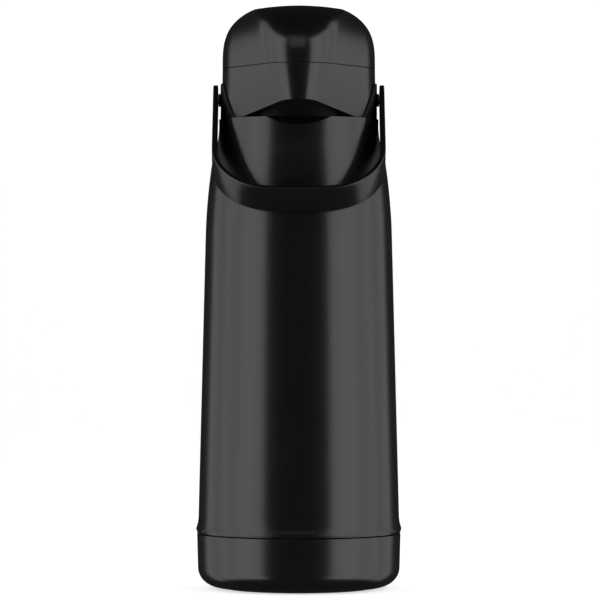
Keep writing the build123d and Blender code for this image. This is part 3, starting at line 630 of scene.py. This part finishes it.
# ---- materials -----------------------------------------------------------------------------------
def finish(name, color, roughness, grain_size, grain_depth, cloud_size=22.0, spread_share=0.1, **sockets):
    """Surface with fine grain, clouds of slightly different gloss and a faint mottling of its colour."""
    material = bpy.data.materials.new(name)
    material.use_nodes = True
    nodes, links = material.node_tree.nodes, material.node_tree.links
    shader = nodes["Principled BSDF"]
    place = nodes.new("ShaderNodeTexCoord")
    grain = nodes.new("ShaderNodeTexNoise")
    grain.inputs["Scale"].default_value = 1 / (grain_size * MM)
    grain.inputs["Detail"].default_value = 2.0
    links.new(place.outputs["Object"], grain.inputs["Vector"])
    bump = nodes.new("ShaderNodeBump")
    bump.inputs["Distance"].default_value = grain_depth * MM
    links.new(grain.outputs["Fac"], bump.inputs["Height"])
    links.new(bump.outputs["Normal"], shader.inputs["Normal"])
    cloud = nodes.new("ShaderNodeTexNoise")
    cloud.inputs["Scale"].default_value = 1 / (cloud_size * MM)
    cloud.inputs["Detail"].default_value = 4.0
    links.new(place.outputs["Object"], cloud.inputs["Vector"])
    gloss = nodes.new("ShaderNodeMapRange")
    gloss.inputs["To Min"].default_value = roughness * 0.88
    gloss.inputs["To Max"].default_value = roughness * 1.12
    links.new(cloud.outputs["Fac"], gloss.inputs["Value"])
    links.new(gloss.outputs["Result"], shader.inputs["Roughness"])
    tint = nodes.new("ShaderNodeMix")
    tint.data_type = "RGBA"
    tint.inputs["A"].default_value = (*[c * (1 - spread_share) for c in color], 1)
    tint.inputs["B"].default_value = (*[c * (1 + spread_share) for c in color], 1)
    links.new(cloud.outputs["Fac"], tint.inputs["Factor"])
    links.new(tint.outputs["Result"], shader.inputs["Base Color"])
    for socket, value in sockets.items():
        shader.inputs[socket.replace("_", " ")].default_value = value
    return material


def paint(material, *node_names):
    """Gives the CAD nodes' own objects the material."""
    for node in node_names:
        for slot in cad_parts[node].material_slots:
            slot.material = material


def make_materials():
    """One finish for each material slot of the record."""
    return {
        # base colour, roughness, grain size in mm, grain depth in mm
        "body": finish("satin_black_plastic", (0.0032, 0.0032, 0.0034), 0.24, 0.35, 0.006),
        "collar": finish(
            "matt_black_plastic", (0.0028, 0.0028, 0.003), 0.46, 0.30, 0.012, Specular_IOR_Level=0.2
        ),
        "handle": finish("grained_black_plastic", (0.003, 0.003, 0.0032), 0.26, 0.30, 0.010),
        "inner": finish("grey_inner_plastic", (0.30, 0.30, 0.31), 0.38, 0.30, 0.010),
        "rubber": finish("black_rubber", (0.014, 0.014, 0.015), 0.62, 0.25, 0.030),
        "silicone": finish(
            "milky_silicone",
            (0.74, 0.73, 0.70),
            0.45,
            0.30,
            0.010,
            Subsurface_Weight=0.3,
            Subsurface_Scale=0.002,
        ),
        "glass": finish(
            "silvered_glass", (0.82, 0.80, 0.78), 0.06, 4.0, 0.010, Metallic=1.0, Coat_Weight=1.0
        ),
        "steel": finish("drawn_steel_tube", (0.62, 0.61, 0.60), 0.22, 0.20, 0.004, Metallic=1.0),
        "hardware": finish("zinc_plated_steel", (0.55, 0.56, 0.58), 0.30, 0.25, 0.006, Metallic=1.0),
    }


# ---- camera, lights, floor -----------------------------------------------------------------------
EYE_HEIGHT = 0.191
CAMERA_DISTANCE = 2.5
VIEW_WIDTH = 0.3982          # width seen at the pot's axis
CAMERA_SIDE = 0.0008
SENSOR = 36.0
LIGHT_DISTANCE = 1.5
LIGHT_LOW = -1.1             # the soft boxes reach far down, so that the base's round corner shows them
LIGHT_HIGH = 1.9
SIDE_LIGHTS = (              # name, azimuth from the front, width, radiance
    ("left_front", -56, 0.86, 2.0),
    ("left_middle", -86, 0.75, 1.5),
    ("left_rear", -114, 0.75, 0.9),
    ("right_front", 54, 0.97, 2.0),
    ("right_middle", 86, 0.75, 1.5),
    ("right_rear", 114, 0.75, 0.9),
)


def make_camera():
    """Long lens, level, straight at the front."""
    data = bpy.data.cameras.new("camera")
    data.sensor_width = SENSOR
    data.lens = SENSOR * CAMERA_DISTANCE / VIEW_WIDTH
    camera = bpy.data.objects.new("camera", data)
    camera.location = (CAMERA_SIDE, -CAMERA_DISTANCE, EYE_HEIGHT)
    camera.rotation_euler = (pi / 2, 0, 0)
    bpy.context.scene.collection.objects.link(camera)
    bpy.context.scene.camera = camera


def softbox(name, place, target, width, height, radiance):
    """Rectangular soft light at a place, facing the target."""
    data = bpy.data.lights.new(name, "AREA")
    data.shape = "RECTANGLE"
    data.size = width
    data.size_y = height
    data.energy = radiance * pi * width * height
    light = bpy.data.objects.new(name, data)
    light.location = place
    light.rotation_euler = (Vector(target) - Vector(place)).to_track_quat("-Z", "Y").to_euler()
    bpy.context.scene.collection.objects.link(light)


def make_lights():
    """Upright soft boxes down both sides, and a small one high in front for the nose."""
    middle = (LIGHT_LOW + LIGHT_HIGH) / 2
    for name, azimuth, width, radiance in SIDE_LIGHTS:
        a = radians(azimuth)
        place = (LIGHT_DISTANCE * sin(a), -LIGHT_DISTANCE * cos(a), middle)
        softbox(f"softbox_{name}", place, (0, 0, middle), width, LIGHT_HIGH - LIGHT_LOW, radiance)
    softbox("softbox_top", (-0.08, -1.15, 1.36), (0, 0, 0.36), 1.1, 0.8, 0.65)


def make_floor():
    """Pale floor that curves up into a backdrop behind the pot."""
    half, front, back, rise_r, top = 4.0, -4.0, 3.0, 1.0, 4.0
    line = [(front, 0.0)]
    for t in spread(0, pi / 2, 17):
        line.append((back - rise_r + rise_r * sin(t), rise_r - rise_r * cos(t)))
    line.append((back, top))
    points = [(x, y, z) for y, z in line for x in (-half, half)]
    faces = [(2 * i, 2 * i + 1, 2 * i + 3, 2 * i + 2) for i in range(len(line) - 1)]
    mesh = bpy.data.meshes.new("floor")
    mesh.from_pydata(points, [], faces)
    mesh.shade_smooth()
    floor = bpy.data.objects.new("floor", mesh)
    bpy.context.scene.collection.objects.link(floor)
    floor.visible_glossy = False
    floor.visible_shadow = False
    glow = {"Emission_Color": (1, 1, 1, 1), "Emission_Strength": 0.62}
    mesh.materials.append(finish("floor", (0.86, 0.86, 0.86), 0.9, 1.0, 0.01, **glow))


def make_world():
    """White to the camera, nearly black in reflections, so that the black plastic stays black."""
    world = bpy.data.worlds.new("studio")
    bpy.context.scene.world = world
    world.use_nodes = True
    nodes, links = world.node_tree.nodes, world.node_tree.links
    nodes.clear()
    seen = nodes.new("ShaderNodeBackground")
    seen.inputs["Color"].default_value = (1, 1, 1, 1)
    dark = nodes.new("ShaderNodeBackground")
    dark.inputs["Color"].default_value = (0.022, 0.022, 0.022, 1)
    path = nodes.new("ShaderNodeLightPath")
    mix = nodes.new("ShaderNodeMixShader")
    out = nodes.new("ShaderNodeOutputWorld")
    links.new(path.outputs["Is Camera Ray"], mix.inputs["Fac"])
    links.new(dark.outputs[0], mix.inputs[1])
    links.new(seen.outputs[0], mix.inputs[2])
    links.new(mix.outputs[0], out.inputs["Surface"])


# ---- the whole pot -------------------------------------------------------------------------------
def build():
    """Makes or paints every piece of the pot."""
    look = make_materials()
    body = look["body"]
    make_body(body)
    make_base_cup(body)
    make_panel(body)
    make_housing(body)
    make_web(body)
    x0, x1 = HINGE_OUTER
    make_knuckle("housing_knuckle_left", -x1, -x0, -1, body, "pot")
    make_knuckle("housing_knuckle_right", x0, x1, -1, body, "pot")
    make_knuckle("lid_knuckle", -HINGE_CENTRE_HALF, HINGE_CENTRE_HALF, 1, body, "lid")
    make_lid(body)
    make_button(body)
    make_handle(look["handle"])
    make_bellows(look["rubber"])
    make_spring(look["hardware"])
    paint(look["collar"], "shoulder_collar")
    paint(look["inner"], "mouth_stopper", "lid_base", "bellows_plate", "valve_chamber")
    paint(look["rubber"], "base_pad", "refill_cushion", "mouth_gasket")
    paint(look["silicone"], "pipe_seal", "lid_gasket", "vent_valve")
    paint(look["glass"], "glass_outer", "glass_inner")
    paint(look["steel"], "spout_pipe", "dip_tube", "valve_ball")
    paint(look["hardware"], "lid_hinge_pin", "housing_screws", "lid_screws", "handle_pivot_pins")


make_camera()
build()
make_lights()
make_floor()
make_world()
bpy.context.scene.view_settings.view_transform = "Standard"
